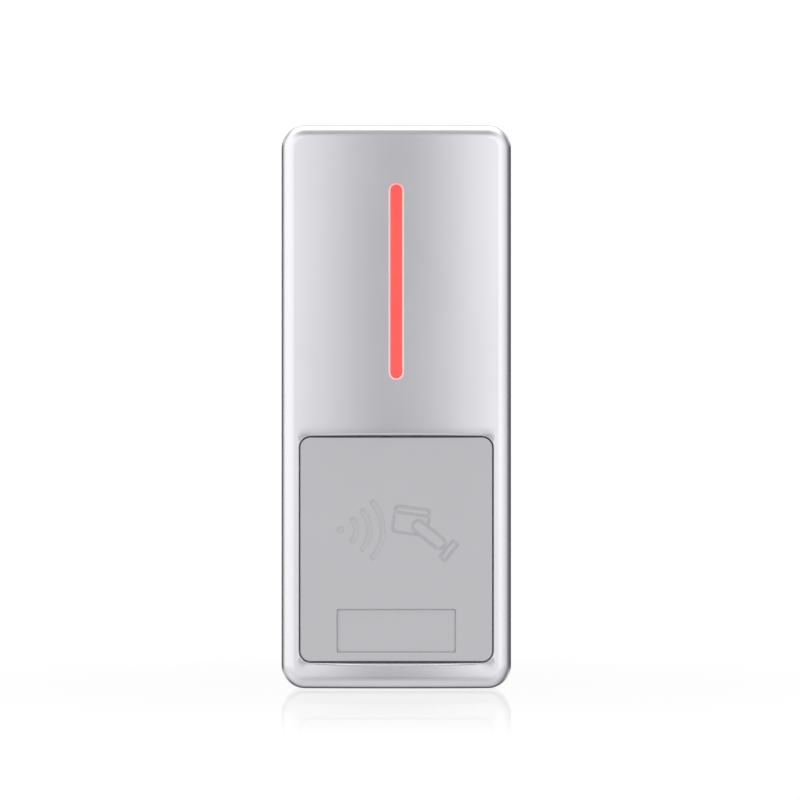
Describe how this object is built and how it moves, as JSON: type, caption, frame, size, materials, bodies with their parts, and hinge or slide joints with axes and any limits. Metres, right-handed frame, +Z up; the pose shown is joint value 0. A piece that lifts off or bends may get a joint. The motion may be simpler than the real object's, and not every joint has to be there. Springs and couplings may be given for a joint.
{
  "type": "rfid card reader",
  "caption": "Slim wall-mounted contactless card reader: crowned metal case, light bar, card window, hooked wall plate, lock screw and tamper plunger.",
  "frame": {"origin": "centre of the case's height and width, on the back of the wall plate, where it meets the wall", "axes": "+X to the right as seen from the front, +Y into the wall, +Z up"},
  "size_m": [0.052, 0.021, 0.1274],
  "materials": {
    "satin_silver": "satin silver lacquer on die-cast metal",
    "grey_plastic": "fine matt moulding",
    "red_acrylic": "lit red acrylic light guide",
    "white_plastic": "reflective white moulding",
    "black_plastic": "glass-filled matt moulding",
    "black_rubber": "moulded soft rubber",
    "clear_silicone": "translucent silicone cord",
    "zinc_steel": "bright zinc plate",
    "stainless": "turned stainless steel",
    "green_board": "solder mask over fibreglass",
    "chip_black": "moulded epoxy",
    "copper_wire": "enamelled copper",
    "ferrite": "sintered ferrite",
    "tinned_can": "bright drawn can",
    "cream_nylon": "natural nylon",
    "foam_tape": "black foam tape",
    "label_film": "blank silver-grey film",
    "led_resin": "clear resin over phosphor"
  },
  "bodies": {
    "wall_plate": {"wall_plate": "zinc_steel", "cable_grommet": "black_rubber", "plate_nut": "stainless"},
    "lock_washer": {"lock_washer": "cream_nylon"},
    "lock_screw": {"lock_screw": "stainless"},
    "tamper_plunger": {"tamper_plunger": "cream_nylon"},
    "reader": {"front_housing": "satin_silver", "card_window": "grey_plastic", "light_bar_lens": "red_acrylic", "antenna_frame": "white_plastic", "light_reflector": "white_plastic", "buzzer": "black_plastic", "tamper_switch_case": "black_plastic", "rear_cover": "black_plastic", "cable_gland": "black_rubber", "lens_seal": "clear_silicone", "cover_seal": "clear_silicone", "tamper_spring": "stainless", "board_screw_1": "stainless", "board_screw_2": "stainless", "board_screw_3": "stainless", "board_screw_4": "stainless", "cover_screw_1": "stainless", "cover_screw_2": "stainless", "cover_screw_3": "stainless", "cover_screw_4": "stainless", "main_board": "green_board", "processor_chip": "chip_black", "rf_chip": "chip_black", "voltage_regulator": "chip_black", "surge_diode": "chip_black", "antenna_coil": "copper_wire", "coil_lead_1": "copper_wire", "coil_lead_2": "copper_wire", "ferrite_sheet": "ferrite", "power_inductor": "ferrite", "crystal_can": "tinned_can", "capacitor_1": "tinned_can", "capacitor_2": "tinned_can", "wire_header": "cream_nylon", "window_tape": "foam_tape", "rating_label": "label_film", "status_led_1": "led_resin", "status_led_2": "led_resin", "status_led_3": "led_resin", "status_led_4": "led_resin", "status_led_5": "led_resin", "status_led_6": "led_resin"}
  },
  "joints": [
    {"name": "reader_tilt", "type": "hinge", "parent": "wall_plate", "child": "reader", "pos_m": [0, -0.0056, 0.0619], "axis": [-1, 0, 0], "range_deg": [0, 12]},
    {"name": "tamper_press", "type": "slide", "parent": "reader", "child": "tamper_plunger", "axis": [0, 1, 0], "range_m": [0, 0.002], "stiffness_N_per_m": 150, "springref_m": 0.003, "deforming": ["tamper_spring"]},
    {"name": "lock_washer_slide", "type": "slide", "parent": "wall_plate", "child": "lock_washer", "axis": [0, 0, -1], "range_m": [0, 0.00125]},
    {"name": "lock_screw_turn", "type": "hinge", "parent": "lock_washer", "child": "lock_screw", "pos_m": [0, -0.0056, -0.0623], "axis": [0, 0, -1], "range_deg": [0, 900]}
  ],
  "couplings": [
    {"joint": "lock_screw_turn", "follows": "lock_washer_slide", "rad_per_m": 12560}
  ]
}
